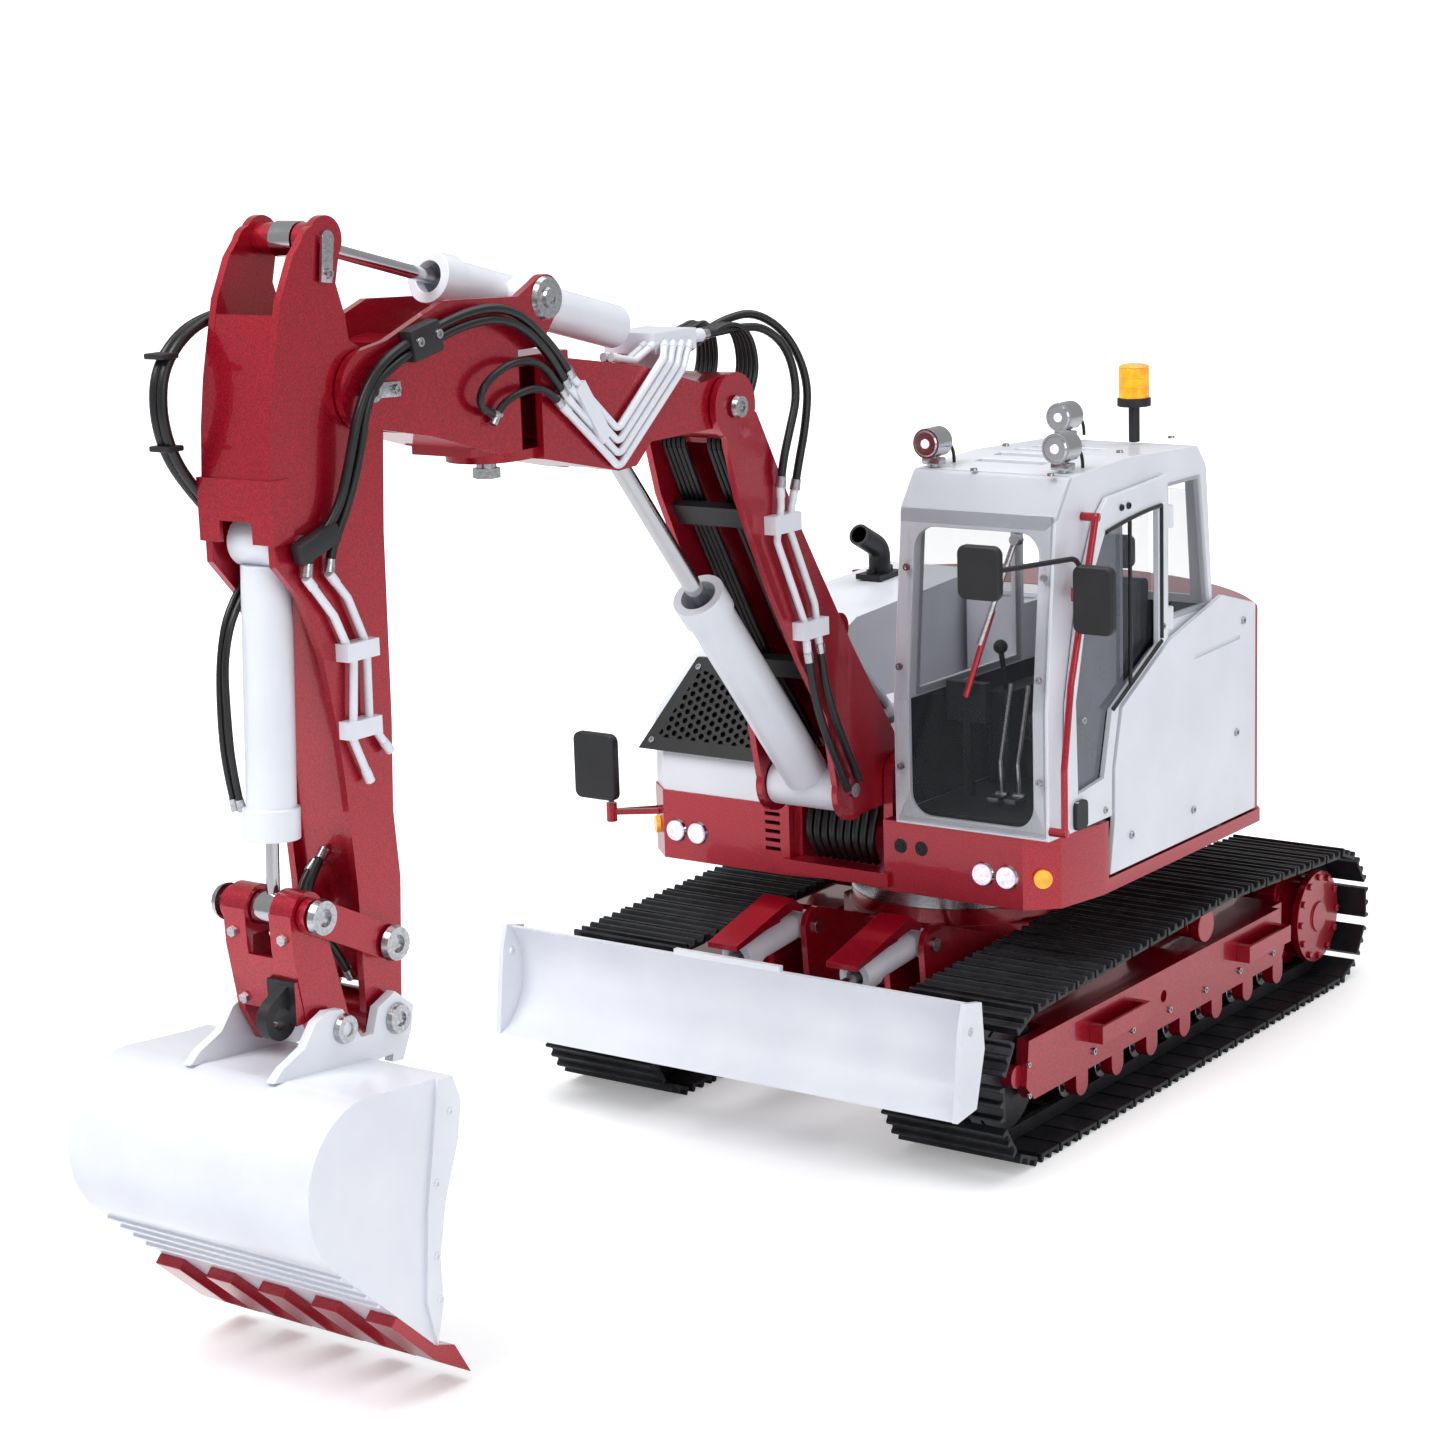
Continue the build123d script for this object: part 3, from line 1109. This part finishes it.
def bucket_teeth():
    outline = poly((376, 29.8), (361, 16), (352.5, 13), (346, 2.3), (361, 11.2), (378.4, 27.4))
    hull_solid = plate(bucket_section(), -BUCKET_HALF, BUCKET_HALF)
    return [plate(outline, y - 5, y + 5) - hull_solid for y in TOOTH_Y]


def swing_barrel():
    x, z = SWING_CYL_EYE
    tube = barrel(SWING_CYL_EYE, SWING_ROD_EYE, SWING_CYL, 36, SWING_CYL_Y, eye=6.1)
    return [tube - flat(Pos(x, SWING_CYL_Y) * Circle(SMALL_PIN_R + FIT), z - 12, z + 12)]


def swing_rod():
    x, z = SWING_ROD_EYE
    far = at_y(toward(SWING_ROD_EYE, SWING_CYL_EYE, 60), SWING_CYL_Y)
    body = bar(at_y(SWING_ROD_EYE, SWING_CYL_Y), far, SWING_CYL[3])
    body += flat(Pos(x, SWING_CYL_Y) * Circle(4.4), z - 4, z + 4)
    return [body - flat(Pos(x, SWING_CYL_Y) * Circle(SMALL_PIN_R + FIT), z - 5, z + 5)]


def build_boom():
    node("lower_boom", *lower_boom())
    node("upper_boom", *upper_boom())
    node("front_boom", *front_boom())
    node("arm", *arm())
    node("lower_boom_pipes", *lower_boom_pipes())
    node("boom_hoses", *boom_hoses())
    node("upper_boom_pipes", *upper_boom_pipes())
    node("arm_pipes", *arm_pipes())
    node("rocker_links", *rocker_links())
    node("power_link", *power_link())
    node("bucket", *bucket())
    node("bucket_teeth", *bucket_teeth())
    hole = pin(LIFT_BASE, PIN_R + FIT, -20, 20)
    node("lift_barrel", barrel(LIFT_BASE, LIFT_EYE, LIFT_CYL, 52, eye=8.4) - hole)
    node("lift_rod", rod(LIFT_EYE, LIFT_BASE, LIFT_CYL, 84, eye=4.0))
    hole = pin(EAR, PIN_R + FIT, -20, 20)
    node("adjust_barrel", barrel(EAR, ADJUST_EYE, BIG_CYL, 100, eye=14.2) - hole)
    node("adjust_rod", rod(ADJUST_EYE, EAR, BIG_CYL, 130, eye=4.0))
    tube = barrel(TRUNNION, ARM_TOP, ARM_CYL, 35, back=54)
    trunnion = pin(TRUNNION, 3, 0, FRONT_HALF + 1) - pin(TRUNNION, 3, 0, ARM_CYL[1])
    band = pin(TRUNNION, 7, ARM_CYL[1], 12.9)
    ears = [trunnion, band, mirror(trunnion, about=Plane.XZ), mirror(band, about=Plane.XZ)]
    bore = bar(at_y(toward(TRUNNION, ARM_TOP, -40), 0), at_y(toward(TRUNNION, ARM_TOP, 30), 0), ARM_CYL[1])
    node("arm_barrel", tube + [ear - bore for ear in ears])
    node("arm_rod", rod(ARM_TOP, TRUNNION, ARM_CYL, 100, eye=4.0))
    hole = pin(BUCKET_BASE, PIN_R + FIT, -20, 20)
    node("bucket_barrel", barrel(BUCKET_BASE, ROCKER_EYE, BUCKET_CYL, 83, eye=8.0) - hole)
    node("bucket_rod", rod(ROCKER_EYE, BUCKET_BASE, BUCKET_CYL, 62, eye=4.0, eye_r=5.0))
    node("swing_barrel", *swing_barrel())
    node("swing_rod", *swing_rod())


def build_house():
    node("house_frame", *house_frame())
    node("cab_shell", cab_shell())
    node("cab_glazing", *cab_glazing())
    node("cab_interior", *cab_interior())
    node("cab_door", *cab_door())
    node("door_glass", door_glass())
    node("side_window", side_window())
    for side in ("left", "right"):
        node("travel_lever_" + side, *travel_lever(side))
    node("wiper", *wiper())
    node("handrail", *handrail())
    node("beacon", *beacon())
    node("lamps", *work_lights(), *head_lamps())
    for name, pieces in mirrors().items():
        node(name, *pieces)
    node("engine_cover", *engine_cover())
    node("engine_grille", engine_grille())
    node("counterweight", counterweight())
    node("side_cover", *side_cover())
    node("exhaust", *exhaust())
    node("battery_and_receiver", battery_pack(), receiver_box())
    node("hydraulic_unit", *power_pack(), *valve_block())
    node("slew_drive", *slew_drive())


# ---------------------------------------------------------------- writing
def write_all():
    os.makedirs("parts", exist_ok=True)
    for name, solids in NODES.items():
        moved = [Pos(SHIFT_X, 0, 0) * solid for solid in solids]
        export_step(Compound(children=moved) if len(moved) > 1 else moved[0], f"parts/{name}.step")


build_undercarriage()
build_dozer()
build_house()
build_boom()
write_all()
